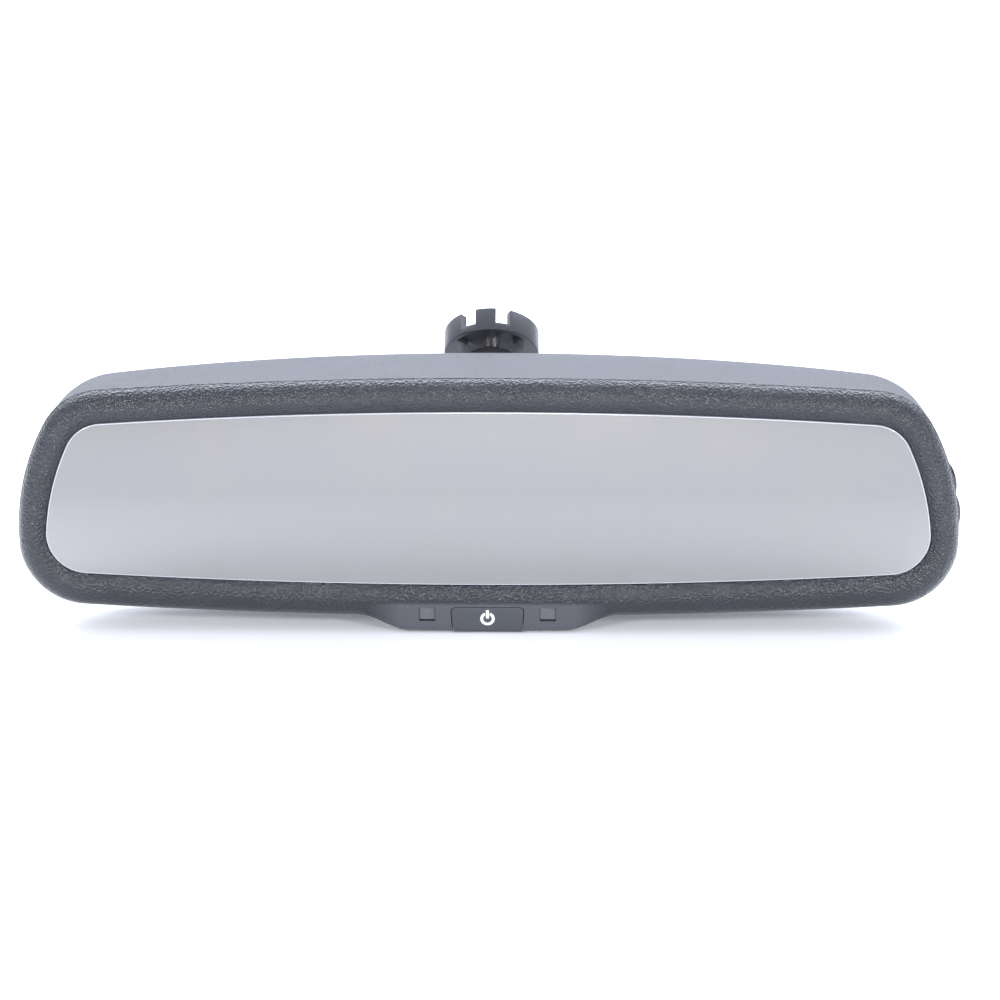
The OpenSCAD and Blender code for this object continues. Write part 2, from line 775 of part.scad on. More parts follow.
module arm_tube() {
    length = ball_gap + 2 * rim_w;
    color([0.16, 0.16, 0.17]) along_arm(lower_ball_w) difference() {
        union() {
            translate([0, 0, 0.6 - rim_w]) cylinder(r = tube_r, h = length - 1.2);
            translate([0, 0, -rim_w]) cylinder(r1 = tube_r - 0.6, r2 = tube_r, h = 0.6);
            translate([0, 0, ball_gap + rim_w - 0.6])
                cylinder(r1 = tube_r, r2 = tube_r - 0.6, h = 0.6);
        }
        cylinder(r = tube_bore, h = ball_gap);
        for (end = [0, 1]) translate([0, 0, end * ball_gap]) mirror([0, 0, end]) {
            sphere(ball_r + seat_gap);
            translate([0, 0, -rim_w - eps]) cylinder(r1 = 6.9, r2 = lip_r, h = rim_w - 2.3 + eps);
        }
    }
}

module arm_spring() {
    wire = 0.65;
    coil = 4.7;
    turns = 4.5;
    per_turn = 16;
    sides = 8;
    room = ball_gap - 2 * backing_len - 0.2;
    rise = room - 2 * wire;
    rings = [for (i = [turns * per_turn:-1:0])
        let (a = 360 * i / per_turn, z = wire + rise * i / (turns * per_turn))
        [for (k = [0:sides - 1])
            let (b = 360 * k / sides, r = coil + wire * cos(b))
            [r * cos(a), r * sin(a), z + wire * sin(b)]]];
    color("lightsteelblue") along_arm(lower_ball_w + backing_len + 0.1) loft(rings);
}

// ------------------------------------------------------------------- socket

module base_ball_stud() {
    color("silver") along_arm() {
        translate([0, 0, upper_ball_w]) sphere(ball_r);
        translate([0, 0, upper_ball_w]) cylinder(r = shank_r, h = floor_w[1] - upper_ball_w - snug);
    }
}

notches = [[-28.75, 19.5], [14.65, 17.5], [151.25, 19.5], [194.65, 17.5]];
pockets = [-2.5, 177.5];
pocket_half = 47.5;
ring_r = 13;
foot_r = 0.6;                    // rounding of the lower edge
web_r = 8.9;

// A wedge of the given half angle about the direction psi from the top.
module wedge(psi, half_angle, r) {
    rotate(psi - 90) polygon(concat([[0, 0]],
        [for (i = [-2:2]) r * dir(half_angle * i / 2)]));
}

module mount_socket() {
    color([0.17, 0.17, 0.18]) along_arm() difference() {
        union() {
            translate([0, 0, foot_r]) cylinder(r = socket_r, h = mouth_w - foot_r);
            rotate_extrude() {
                translate([socket_r - foot_r, foot_r]) circle(foot_r);
                square([socket_r - foot_r, floor_w[1]]);
            }
        }
        // bore for the windscreen button
        translate([0, 0, floor_w[1]]) cylinder(r = bore_r, h = mouth_w);
        // dish over the arm, pockets between the webs, hole for the stud
        translate([0, 0, -1]) cylinder(r = web_r, h = floor_w[0] + 1);
        for (psi = pockets) translate([0, 0, -1]) linear_extrude(floor_w[0] + 1)
            intersection() {
                circle(ring_r);
                wedge(psi, pocket_half, 20);
            }
        translate([0, 0, -1]) cylinder(r = shank_r + snug, h = 6);
        for (n = notches) translate([0, 0, floor_w[1]]) linear_extrude(mouth_w)
            difference() {
                wedge(n[0], n[1] / 2, 20);
                circle(bore_r - 1);
            }
    }
}

bezel();
rear_housing();
front_glass();
gel_seal();
dimming_gel();
rear_glass();
upper_bus_clip();
lower_bus_clip();
glass_pad();
carrier_plate();
main_board();
board_chips();
board_capacitors();
board_screws();
harness_socket();
socket_pins();
ambient_sensor();
ambient_lens();
chin_board();
glare_sensor();
indicator_led();
sensor_window();
indicator_window();
key_switch();
chin_ribbon();
side_board();
side_switches();
side_ribbon();
pivot_plate();
pivot_plate_screws();
head_ball_stud();
power_key();
power_symbol();
power_plunger();
upper_side_key();
upper_side_plunger();
lower_side_key();
lower_side_plunger();
lower_ball_cup();
lower_backing_cup();
arm_tube();
arm_spring();
upper_backing_cup();
upper_ball_cup();
base_ball_stud();
mount_socket();
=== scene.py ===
# %% [markdown]
# # A self-dimming interior rearview mirror
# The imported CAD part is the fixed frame. It gives every piece its size and place, and this lesson adds the looks:
# fine skins over the plain solids, rounded edges where fingers and light meet them, and one procedural finish for
# each kind of plastic, metal and glass. Nothing here moves or resizes the frame.

# %% Load the frame
import math

import bpy
import numpy as np
from mathutils import Matrix, Vector


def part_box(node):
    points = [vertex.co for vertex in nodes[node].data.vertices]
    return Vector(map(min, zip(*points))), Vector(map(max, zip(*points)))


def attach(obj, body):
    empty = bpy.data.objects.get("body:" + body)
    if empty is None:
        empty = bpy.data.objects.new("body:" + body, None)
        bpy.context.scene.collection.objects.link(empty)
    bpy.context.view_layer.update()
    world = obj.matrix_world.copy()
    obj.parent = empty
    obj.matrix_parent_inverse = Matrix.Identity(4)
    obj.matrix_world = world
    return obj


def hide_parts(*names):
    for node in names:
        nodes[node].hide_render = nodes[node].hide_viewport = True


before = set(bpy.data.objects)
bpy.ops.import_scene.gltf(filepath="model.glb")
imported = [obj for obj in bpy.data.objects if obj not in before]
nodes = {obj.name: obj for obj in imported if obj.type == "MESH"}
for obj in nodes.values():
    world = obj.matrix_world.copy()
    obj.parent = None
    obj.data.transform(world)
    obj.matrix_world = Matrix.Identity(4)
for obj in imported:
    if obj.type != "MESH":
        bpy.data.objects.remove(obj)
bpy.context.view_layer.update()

# %% [markdown]
# ## A place to work in
# Mirror makers measure from the middle of the glass's front face, in millimetres: X to the right, Y backwards, Z up.
# The pieces are modelled in those numbers, and one matrix takes a finished mesh to the frame's metres. That leaves
# the object itself at the origin, unturned and unscaled, so that patterns on Object coordinates stay put.

# %% From millimetres at the glass to the frame
MM = 0.001
GLASS_TOP = 24.4

glass_low, glass_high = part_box("front_glass")
glass_middle = Vector(((glass_low.x + glass_high.x) / 2, glass_low.y, glass_high.z - GLASS_TOP * MM))
TO_FRAME = Matrix.Translation(glass_middle) @ Matrix.Scale(MM, 4)


def at(x, y, z):
    """A point in the frame, from millimetres at the glass."""
    return TO_FRAME @ Vector((x, y, z))


print("middle of the glass in the frame:", [round(c, 4) for c in glass_middle])

# %% [markdown]
# ## Small helpers for the workbench
# Operators act on whatever is selected, so each helper first deselects everything and then picks one piece. Faces and
# edges are picked by a rule on their place or normal, which keeps working when a size changes, where index numbers
# wouldn't.


# %% Selecting
def alone(piece):
    """Makes one piece the only selected object."""
    if bpy.context.mode != "OBJECT":
        bpy.ops.object.mode_set(mode="OBJECT")
    bpy.ops.object.select_all(action="DESELECT")
    piece.select_set(True)
    bpy.context.view_layer.objects.active = piece


def edit(piece, pick=None, kind="FACE"):
    """Opens edit mode with all of the piece selected, or only what the rule picks."""
    alone(piece)
    bpy.ops.object.mode_set(mode="EDIT")
    bpy.ops.mesh.select_mode(type=kind)
    bpy.ops.mesh.select_all(action="DESELECT" if pick else "SELECT")
    if pick:
        bpy.ops.object.mode_set(mode="OBJECT")
        mesh = piece.data
        for part in {"FACE": mesh.polygons, "EDGE": mesh.edges, "VERT": mesh.vertices}[kind]:
            part.select = bool(pick(part))
        bpy.ops.object.mode_set(mode="EDIT")


def done():
    bpy.ops.object.mode_set(mode="OBJECT")


def add(name, primitive, **settings):
    """Adds a primitive by its operator and names it."""
    if bpy.context.mode != "OBJECT":
        done()
    bpy.ops.object.select_all(action="DESELECT")
    getattr(bpy.ops.mesh, f"primitive_{primitive}_add")(**settings)
    piece = bpy.context.object
    piece.name = piece.data.name = name
    return piece


def clean(piece, near=0.002):
    """Closes seams and poles, and turns every face outwards."""
    edit(piece)
    bpy.ops.mesh.remove_doubles(threshold=near)
    bpy.ops.mesh.dissolve_degenerate(threshold=near / 4)
    bpy.ops.mesh.select_all(action="SELECT")
    bpy.ops.mesh.normals_make_consistent(inside=False)
    done()


def apply(piece, kind, **settings):
    """Adds a modifier with these settings and applies it."""
    alone(piece)
    bpy.ops.object.modifier_add(type=kind)
    modifier = piece.modifiers[-1]
    for key, value in settings.items():
        setattr(modifier, key, value)
    bpy.ops.object.modifier_apply(modifier=modifier.name)


def cut(piece, *cutters, operation="DIFFERENCE"):
    """Cuts the piece with each cutter, which is then thrown away."""
    for cutter in cutters:
        apply(piece, "BOOLEAN", operation=operation, solver="EXACT", object=cutter)
        bpy.data.objects.remove(cutter)


def round_edges(piece, width, segments=3, angle=35):
    apply(piece, "BEVEL", width=width, segments=segments, limit_method="ANGLE",
          angle_limit=math.radians(angle), miter_outer="MITER_ARC", use_clamp_overlap=True)


# %% [markdown]
# ## Sheets, plates and turned pieces
# Three starts cover nearly every piece. A grid laid over a list of rings makes a lofted skin. A circle whose corners
# are pulled onto an outline and then extruded makes a plate, which also serves as a cutter. A profile carried round
# an axis makes a turned piece.


# %% Lofts, plates and lathes
def loft(name, rings, closed=False):
    """A grid whose rows lie on the rings. closed joins the last ring to the first."""
    rows = [list(ring) + [ring[0]] for ring in rings]
    if closed:
        rows.append(rows[0])
    piece = add(name, "grid", x_subdivisions=len(rows[0]) - 1, y_subdivisions=len(rows) - 1,
                size=1, calc_uvs=False)
    piece.data.vertices.foreach_set("co", np.array(rows, np.float32).ravel())
    clean(piece)
    return piece


def plate(name, outline, y0, y1, flat="XZ"):
    """A drawn outline, thickened by extrusion: from y0 to y1, or along X when it is drawn in YZ."""
    piece = add(name, "circle", vertices=len(outline), fill_type="NGON", calc_uvs=False)
    to3 = {"XZ": lambda p: (p[0], y0, p[1]), "YZ": lambda p: (y0, p[0], p[1]), "XY": lambda p: (p[0], p[1], y0)}
    way = {"XZ": (0, y1 - y0, 0), "YZ": (y1 - y0, 0, 0), "XY": (0, 0, y1 - y0)}[flat]
    for vertex, p in zip(piece.data.vertices, outline):
        vertex.co = to3[flat](p)
    edit(piece)
    bpy.ops.mesh.extrude_region_move(TRANSFORM_OT_translate={"value": way})
    done()
    clean(piece)
    return piece


def lathe(name, profile, steps=96, closed=True):
    """A profile of (radius, height) carried round Z. An open profile ends on the axis."""
    turn = [(math.cos(2 * math.pi * i / steps), math.sin(2 * math.pi * i / steps)) for i in range(steps)]
    return loft(name, [[(r * c, r * s, h) for c, s in turn] for r, h in profile], closed)


def turned(angle, r=1.0):
    return r * math.cos(math.radians(angle)), r * math.sin(math.radians(angle))


def soft_corners(outline, r, steps=5):
    """Rounds each corner of a convex outline with a curve that starts r before it."""
    made, n = [], len(outline)
    for i in range(n):
        before, corner, after = (np.array(outline[(i + k) % n], float) for k in (-1, 0, 1))
        a = corner + (before - corner) * min(r / np.linalg.norm(before - corner), 0.49)
        b = corner + (after - corner) * min(r / np.linalg.norm(after - corner), 0.49)
        for k in range(steps + 1):
            t = k / steps
            made.append(tuple(a * (1 - t) ** 2 + corner * 2 * t * (1 - t) + b * t * t))
    return made


# %% [markdown]
# ## The outline
# The glass and the bezel share one kind of outline: a long crowned top edge, round corners, leaning sides and a
# nearly straight lower edge, all arcs that meet without a kink. Working the arcs out in code gives as many points as
# a smooth skin needs, on exactly the frame's own curve.

# %% Arcs of the glass and of the bezel
GLASS = (24.4, 1596, 103.1, 11, 25.9, 71.8, 5.8, 10.8, -86.73)
BEZEL = (33.2, 1614, 103.1, 18.7, 29.93, 64.6, -1.56, 18, -86.72)
ARC_STEPS = (56, 22, 14, 22, 56)
HALF_STEPS = sum(ARC_STEPS)


def arcs(outline):
    """The five arcs of the right half: centre, radius, first and last angle."""
    top, r_top, corner_x, r_corner, a2, r_side, a3, r_low, a4 = outline
    a1 = math.degrees(math.acos(corner_x / (r_top - r_corner)))
    c1 = np.array((0, top - r_top))
    c2 = c1 + turned(a1, r_top - r_corner)
    c3 = c2 + turned(a2, r_corner - r_side)
    c4 = c3 + turned(a3, r_side - r_low)
    r_edge = r_low + c4[0] / math.cos(math.radians(a4))
    c5 = c4 + turned(a4, r_low - r_edge)
    return [(c1, r_top, 90, a1), (c2, r_corner, a1, a2), (c3, r_side, a2, a3), (c4, r_low, a3, a4),
            (c5, r_edge, a4, -90)]


def loop(outline, inset=0.0):
    """The whole outline, clockwise from the top middle, as (x, z)."""
    right = []
    for (centre, r, first, last), steps in zip(arcs(outline), ARC_STEPS):
        for i in range(steps):
            right.append(centre + turned(first + (last - first) * i / steps, r - inset))
    centre, r = arcs(outline)[4][:2]
    right.append(centre + turned(-90, r - inset))
    return np.array(right + [(-x, z) for x, z in right[-2:0:-1]])


print("outline points:", len(loop(GLASS)), "bezel half width:", round(loop(BEZEL)[:, 0].max(), 2))

# %% [markdown]
# ## Bezel
# The bezel is one moulding: a rounded bead all round the glass that turns into a smooth hollow chin for the key. A
# bevelled curve would give the bead but not the chin, so two sections with equal counts of points are drawn, and the
# skin blends from one to the other along the lower edge.

# %% Sections of bead and chin
BEAD_R, BEAD_RISE, PARTING_Y, GLASS_GAP = 5.3, 1.2, 3.0, 0.15
BEAD_START = BEAD_R * math.sin(math.radians(45))
BAND = BEAD_START + BEAD_R * math.sin(math.radians(75)) + 0.2
LOW = 12.7                                            # lower edge of the chin's face
CHIN_BACK = 12.0
CHIN_ROOT, CHIN_FLAT = 35.8, 21.5


def bead_arc(first, last, steps):
    """Points (distance out from the glass, y) on the bead's round front."""
    angles = [math.radians(first + (last - first) * i / (steps - 1)) for i in range(steps)]
    return [(BEAD_START + BEAD_R * math.sin(a), BEAD_R - BEAD_RISE - BEAD_R * math.cos(a)) for a in angles]


def curve_through(points, per_step):
    """A smooth curve through the points."""
    p = np.array([points[0]] + list(points) + [points[-1]], float)
    made = []
    for i in range(1, len(p) - 2):
        for k in range(per_step):
            t = k / per_step
            made.append(0.5 * (2 * p[i] + (p[i + 1] - p[i - 1]) * t
                               + (2 * p[i - 1] - 5 * p[i] + 4 * p[i + 1] - p[i + 2]) * t ** 2
                               + (3 * p[i] - p[i - 1] - 3 * p[i + 1] + p[i + 2]) * t ** 3))
    return [tuple(q) for q in made] + [tuple(points[-1])]


inner_bead = bead_arc(-45, 1.8, 9)
outer_bead = bead_arc(1.8, 75, 19)[1:] + [(BAND - 0.05, 2.86), (BAND, 3.0)]
chin_face = curve_through([inner_bead[-1], (4.7, -1.05), (7.5, -0.62), (LOW - 1.7, -0.25)], 4)[1:]
chin_turn = curve_through([(LOW - 1.7, -0.25), (LOW - 0.8, 0.1), (LOW - 0.3, 0.8), (LOW, 1.9), (LOW, 4)], 2)[1:]
bead_back = [(BAND - 0.1, 3.0), (BAND - 0.5, 3.0), (BAND - 1.1, 3.0), (BAND - 1.7, 3.0), (BAND - 1.9, 2.7),
             (BAND - 2.3, 2.2), (5.6, 1.5), (4.2, 1.0), (3.4, 0.85), (1.6, 1.3), (1.25, 2.2), (1.25, 4.2), (0.05, 4.2)]
chin_back = [(LOW, 8.5), (LOW - 0.25, 11.2), (LOW - 0.8, 12.0), (6.8, 12.0), (6.8, 10.6), (LOW - 1.65, 10.4),
             (LOW - 1.65, 1.1)] + bead_back[7:]
chin_front = inner_bead + chin_face + chin_turn
bead_front = inner_bead + outer_bead
print("section points:", len(bead_front), "=", len(chin_front), "and", len(bead_back), "=", len(chin_back))


# %% Bezel skin
def chin_share(x):
    s = max(0.0, min(1.0, (CHIN_ROOT - abs(x)) / (CHIN_ROOT - CHIN_FLAT)))
    return s * s * (3 - 2 * s)


inner_loop, outer_loop = loop(GLASS, -GLASS_GAP), loop(BEZEL)
bead = np.array(bead_front + bead_back)
chin = np.array(chin_front + chin_back)
shares = np.array([chin_share(x) if z < 0 else 0.0 for x, z in outer_loop])
rings = []
for on_bead, on_chin in zip(bead, chin):
    section = on_bead + (on_chin - on_bead) * shares[:, None]
    place = inner_loop + (outer_loop - inner_loop) * section[:, :1] / BAND
    rings.append(np.column_stack((place[:, 0], section[:, 1], place[:, 1])))
bezel_skin = loft("bezel_skin", rings, closed=True)
print("bezel skin:", len(bezel_skin.data.polygons), "faces")

# %% [markdown]
# The chin is then opened for the power key and for the two windows. Cutting with plates is what the mould's steel
# inserts do, and the openings keep the crisp edges that they have on the real piece.

# %% Openings in the chin
KEY_TOP, KEY_LOW, KEY_HALF = -30.5, -38.1, 9.9
WINDOW_X, WINDOW_Z, WINDOW_SIZE = 16.5, -32.5, (4.4, 4.0)


def key_outline(grow, low):
    """Front outline of the power key: round upper corners, sides that close in downwards."""
    r, w, top = 1.3 + grow, KEY_HALF + grow, KEY_TOP + grow
    right = [(w - r + turned(a, r)[0], top - r + turned(a, r)[1]) for a in range(90, -1, -10)]
    right.append((w - 0.6, low))
    return right + [(-x, z) for x, z in right[::-1]]


def window_outline(side, grow, corner, slit=0.0):
    x, z = side * WINDOW_X, WINDOW_Z
    w, h = WINDOW_SIZE[0] / 2 + grow, WINDOW_SIZE[1] / 2 + grow
    return soft_corners([(x - w, z + h), (x + w, z + h), (x + w, z - h + slit), (x - w, z - h + slit)], corner, 3)


cut(bezel_skin,
    plate("key_opening", key_outline(0.2, KEY_LOW - 2), -3, 1.6),
    plate("key_underside", [(-9.7, -36), (9.7, -36), (9.7, -41), (-9.7, -41)], 1.5, 8.4),
    plate("left_window_opening", window_outline(-1, 0.05, 0.35), -3, 1.6),
    plate("right_window_opening", window_outline(1, 0.05, 0.35), -3, 1.6))
print("bezel with openings:", len(bezel_skin.data.polygons), "faces")

# %% [markdown]
# ## Rear housing
# The shell behind the bezel swells from a thin edge to the full depth over the arm. Its rings follow a superellipse:
# at the joint they are the bezel's own outline, and towards the back they draw in to a ridge line. Each upper point
# shares its place on the ridge with the lower point opposite it, so the last ring closes on itself. Solidify then
# gives the moulding its wall.

# %% Housing shell
END_DEPTH, MID_DEPTH, HALF_WIDTH, RIDGE_X, WALL = 8.0, 37.9, 127.9, 92.0, 2.05
SHELL_TURNS = 26


def depth(x):
    u = np.clip(np.abs(x) / HALF_WIDTH, 0, 1)
    return END_DEPTH + (MID_DEPTH - END_DEPTH) * (1 - u * u) ** 0.48


edge = loop(BEZEL, 0.15)
count = len(edge)
opposite = [(HALF_STEPS - i) % count for i in range(count)]
ridge = np.clip(edge[:, 0] * 0.8, -RIDGE_X, RIDGE_X)
ridge = (ridge + ridge[opposite]) / 2
shell_rings = [np.column_stack((edge[:, 0], np.full(count, PARTING_Y + 0.35), edge[:, 1]))]
for j in range(1, SHELL_TURNS + 1):
    angle = math.radians(1.5 + 88.5 * j / SHELL_TURNS)
    k = math.cos(angle) ** 0.2 if j < SHELL_TURNS else 0.0
    rise = (1 - k ** 10) ** 0.1
    x = ridge + (edge[:, 0] - ridge) * k
    shell_rings.append(np.column_stack((x, PARTING_Y + rise * (depth(x) - 0.15), edge[:, 1] * k)))
housing_skin = loft("housing_skin", shell_rings)
apply(housing_skin, "SOLIDIFY", thickness=WALL, offset=-1, use_even_offset=False)
clean(housing_skin)
print("housing shell:", len(housing_skin.data.polygons), "faces")

# %% [markdown]
# The back has a round hole for the arm with a rolled edge, a square one for the harness socket, a small one for the
# light guide, two cut-outs for the side keys and a notch that lets the chin through. The arm's cutter is turned with
# a flare, which leaves the rolled edge by itself.

# %% Openings in the housing
ARM_HOLE = (0.0, -1.0, 12.5)
SOCKET_AT, LENS_AT, LENS_R = (-38.0, 2.0), (38.0, 4.0), 3.0
SIDE_KEYS = {"upper": (0.15, 8.8), "lower": (-9.2, -0.15)}
SIDE_KEY_Y = (5.2, 11.0)
CHIN_PLAN = [(38.4, 0), (38.4, 3.7), (29.9, 7.6), (23.7, 12.3), (21.7, CHIN_BACK + 0.6)]


def side_point(z, out):
    """A point of the leaning side at height z, pushed out by out."""
    centre, r = arcs(BEZEL)[2][:2]
    return centre + turned(math.degrees(math.asin((z - centre[1]) / r)), r + out)


def side_key_outline(ends, rise, depth_in, grow=0.0, steps=16):
    low, high = ends[0] - grow, ends[1] + grow
    front = [side_point(low + (high - low) * i / steps, rise * math.sin(math.pi * i / steps) ** 0.5)
             for i in range(steps + 1)]
    return front + [side_point(high, -depth_in), side_point(low, -depth_in)]


def rod_y(name, r, y0, y1, where, flare=0.0, steps=72):
    """A turned bar along Y. Its far end may flare out in a quarter round."""
    end = [(r, y1)] if not flare else [
        (r + flare * (1 - math.cos(a)), y1 - flare + flare * math.sin(a)) for a in np.linspace(0, math.pi / 2, 7)
    ] + [(r + flare, y1 + 3)]
    bar = lathe(name, [(0, y0), (r, y0)] + end + [(0, end[-1][1])], steps, closed=False)
    bar.data.transform(Matrix.Translation((where[0], 0, where[1])) @ Matrix.Rotation(-math.pi / 2, 4, "X"))
    clean(bar)
    return bar


def box_outline(x, z, w, h, corner=0.8):
    return soft_corners([(x - w, z + h), (x + w, z + h), (x + w, z - h), (x - w, z - h)], corner, 4)


back_y = float(PARTING_Y + depth(np.array(0.0)) - 0.15)
chin_notch = CHIN_PLAN + [(-x, y) for x, y in CHIN_PLAN[::-1]]
cut(housing_skin,
    rod_y("arm_opening", ARM_HOLE[2], 32, back_y, ARM_HOLE[:2], flare=0.9),
    plate("harness_opening", box_outline(*SOCKET_AT, 9.2, 5.7), 32, 45),
    rod_y("lens_opening", LENS_R + 0.05, 32, 45, LENS_AT),
    plate("chin_notch", chin_notch, -40, -31.2, flat="XY"),
    *[plate(f"{which}_side_opening", side_key_outline(ends, 4, 6, 0.2), SIDE_KEY_Y[0] - 0.2, SIDE_KEY_Y[1] + 0.2)
      for which, ends in SIDE_KEYS.items()])
print("housing with openings:", len(housing_skin.data.polygons), "faces")

# %% [markdown]
# Inside the shell stand four round bosses that take the pivot plate's screws. They are drawn as turned tubes and
# joined to the housing, because they are moulded with it.

# %% Screw bosses
PLATE_SCREWS = [(-20, -12), (20, -12), (-20, 12), (20, 12)]
BOSS = [(1.3, 30), (3.4, 30), (3.4, 39), (1.3, 39)]
bosses = []
for x, z in PLATE_SCREWS:
    boss = lathe("boss", BOSS, 32)
    boss.data.transform(Matrix.Translation((x, 0, z)) @ Matrix.Rotation(-math.pi / 2, 4, "X"))
    clean(boss)
    bosses.append(boss)
alone(housing_skin)
for boss in bosses:
    boss.select_set(True)
bpy.ops.object.join()
print("housing with bosses:", len(housing_skin.data.polygons), "faces")

# %% [markdown]
# ## Glass
# The front glass of such a mirror has a polished round edge that catches the light as a bright line. The pane is a
# plate on the glass's outline, and its front rim is rounded with the bevel operator. The face keeps one finish and
# the polished rim gets another, by the material index of each face: a light grey, a painted highlight for that line.

# %% Front glass
FRONT_GLASS_T, RIM = 1.1, 0.3
glass_pane = plate("glass_pane", [tuple(p) for p in loop(GLASS)], 0, FRONT_GLASS_T - 0.02)


def on_front_rim(e):
    return all(abs(glass_pane.data.vertices[v].co.y) < 1e-4 for v in e.vertices)


edit(glass_pane, on_front_rim, "EDGE")
bpy.ops.mesh.bevel(offset=RIM, segments=4, affect="EDGES")
done()
for face in glass_pane.data.polygons:
    face.material_index = 0 if face.normal.y < -0.999 and face.area > 50 else 1
print("glass rim faces:", sum(f.material_index for f in glass_pane.data.polygons))

# %% [markdown]
# ## Power key
# The key is a face that turns under the chin, so its side view gives the section and its front view the outline.
# The section is extruded across, everything outside the outline is cut off, and the edges are rounded last. The
# power mark is a second piece let into the face, as in two-shot moulding.

# %% Power key and its mark
FOLD = [turned(180 + 90 * i / 7) for i in range(1, 8)]
key_section = ([(-0.95, KEY_TOP + 2), (-0.6, -32.6), (-0.25, -36.4)] + [(1.25 + 1.5 * c, -36.6 + 1.5 * s) for c, s in FOLD]
               + [(7.6, KEY_LOW + 0.15), (7.6, KEY_LOW + 1.25), (1.9, KEY_LOW + 1.25), (1.0, -36.0), (0.9, KEY_TOP + 2)])
power_key_cap = plate("power_key_cap", key_section, -12, 12, flat="YZ")
key_block = plate("key_block", key_outline(0, KEY_LOW - 2), -3, 1.1)
key_foot = plate("key_foot", [(-9.2, -36), (9.2, -36), (9.2, -41), (-9.2, -41)], 1.05, 9)
cut(key_block, key_foot, operation="UNION")
cut(power_key_cap, key_block, operation="INTERSECT")
round_edges(power_key_cap, 0.22, 3, 50)

MARK_Z, MARK_Y, GAP_ANGLE, MARK_PROUD = -33.8, (-1.5, 0.1), 26, 0.03
ring_out = [turned(90 - GAP_ANGLE - (360 - 2 * GAP_ANGLE) * i / 48, 1.95) for i in range(49)]
ring_in = [turned(90 - GAP_ANGLE - (360 - 2 * GAP_ANGLE) * i / 48, 1.2) for i in range(48, -1, -1)]
power_mark = plate("power_mark", [(x, MARK_Z + z) for x, z in ring_out + ring_in], *MARK_Y)
bar = plate("mark_bar", soft_corners([(-0.42, MARK_Z + 2.5), (0.42, MARK_Z + 2.5), (0.42, MARK_Z + 0.1),
                                      (-0.42, MARK_Z + 0.1)], 0.14, 4), *MARK_Y)
mark_face = plate("mark_face", [(y - MARK_PROUD, z) for y, z in key_section], -3, 3, flat="YZ")
mark_face_too = plate("mark_face_too", [(y - MARK_PROUD, z) for y, z in key_section], -3, 3, flat="YZ")
cut(power_mark, mark_face, operation="INTERSECT")
cut(bar, mark_face_too, operation="INTERSECT")
alone(power_mark)
bar.select_set(True)
bpy.ops.object.join()
print("key:", len(power_key_cap.data.polygons), "faces, mark:", len(power_mark.data.polygons))

# %% [markdown]
# ## Windows and side keys
# Each window is a frosted block set back in its opening. The side keys are small domed pads that follow the leaning
# side of the head. Both start as plates. Wide round edges turn the flat pads into domes.

# %% Windows
windows = {}
for side, name in ((1, "sensor_window_block"), (-1, "indicator_window_block")):
    block = plate(name, window_outline(side, 0, 0.3, 0.4), -0.1, 1.15)
    flange = plate("flange", window_outline(side, 0.7, 0.3), 1.15, 2.2)
    stem = plate("stem", window_outline(side, -0.6, 0.3), 2.2, 3.4)
    cut(block, flange, stem, operation="UNION")
    round_edges(block, 0.08, 2, 60)
    windows[side] = block
print("windows:", [len(w.data.polygons) for w in windows.values()])

# %% Side keys
SIDE_KEY_RISE, SIDE_KEY_IN = 1.1, 3.2
side_key_pads = {}
for which, ends in SIDE_KEYS.items():
    pad = plate(f"{which}_side_pad", side_key_outline(ends, SIDE_KEY_RISE, SIDE_KEY_IN, steps=28), *SIDE_KEY_Y)
    centre, r = arcs(BEZEL)[2][:2]

    def on_outer_edge(e, mesh=pad.data):
        """The long front and back edges that lie outside the housing's side."""
        ends_at = [mesh.vertices[v].co for v in e.vertices]
        outside = all(math.hypot(p.x - centre[0], p.z - centre[1]) > r - 0.3 for p in ends_at)
        return outside and abs(ends_at[0].y - ends_at[1].y) < 1e-4

    edit(pad, on_outer_edge, "EDGE")
    bpy.ops.mesh.bevel(offset=1.1, segments=6, affect="EDGES", clamp_overlap=False)
    done()
    clean(pad)
    side_key_pads[which] = pad
print("side keys:", [len(p.data.polygons) for p in side_key_pads.values()])

# %% [markdown]
# ## Arm and mount socket
# The arm is a turned aluminium tube with a ball seat in each end. The socket is a zinc casting: a dish with a hole
# for the ball stud, two pockets beside it, and a crown whose notches take the lugs of the windscreen button. Both are
# turned about the arm's own axis first and then leaned with it.

# %% The arm's axis
ARM_ANGLE = math.radians(43.7)
SOCKET_FACE = Vector((0, 70, 23.2))
ARM_DIR = Vector((0, math.cos(ARM_ANGLE), math.sin(ARM_ANGLE)))
BALL_R, UPPER_BALL_W, BALL_GAP, RIM_W = 6.0, -6.0, 27.5, 3.8


def lean(piece, w=0.0):
    """Stands the piece's Z along the arm, with zero at w from the socket's face."""
    place = SOCKET_FACE + ARM_DIR * w
    piece.data.transform(Matrix.Translation(place) @ Matrix.Rotation(ARM_ANGLE - math.pi / 2, 4, "X"))
    return piece


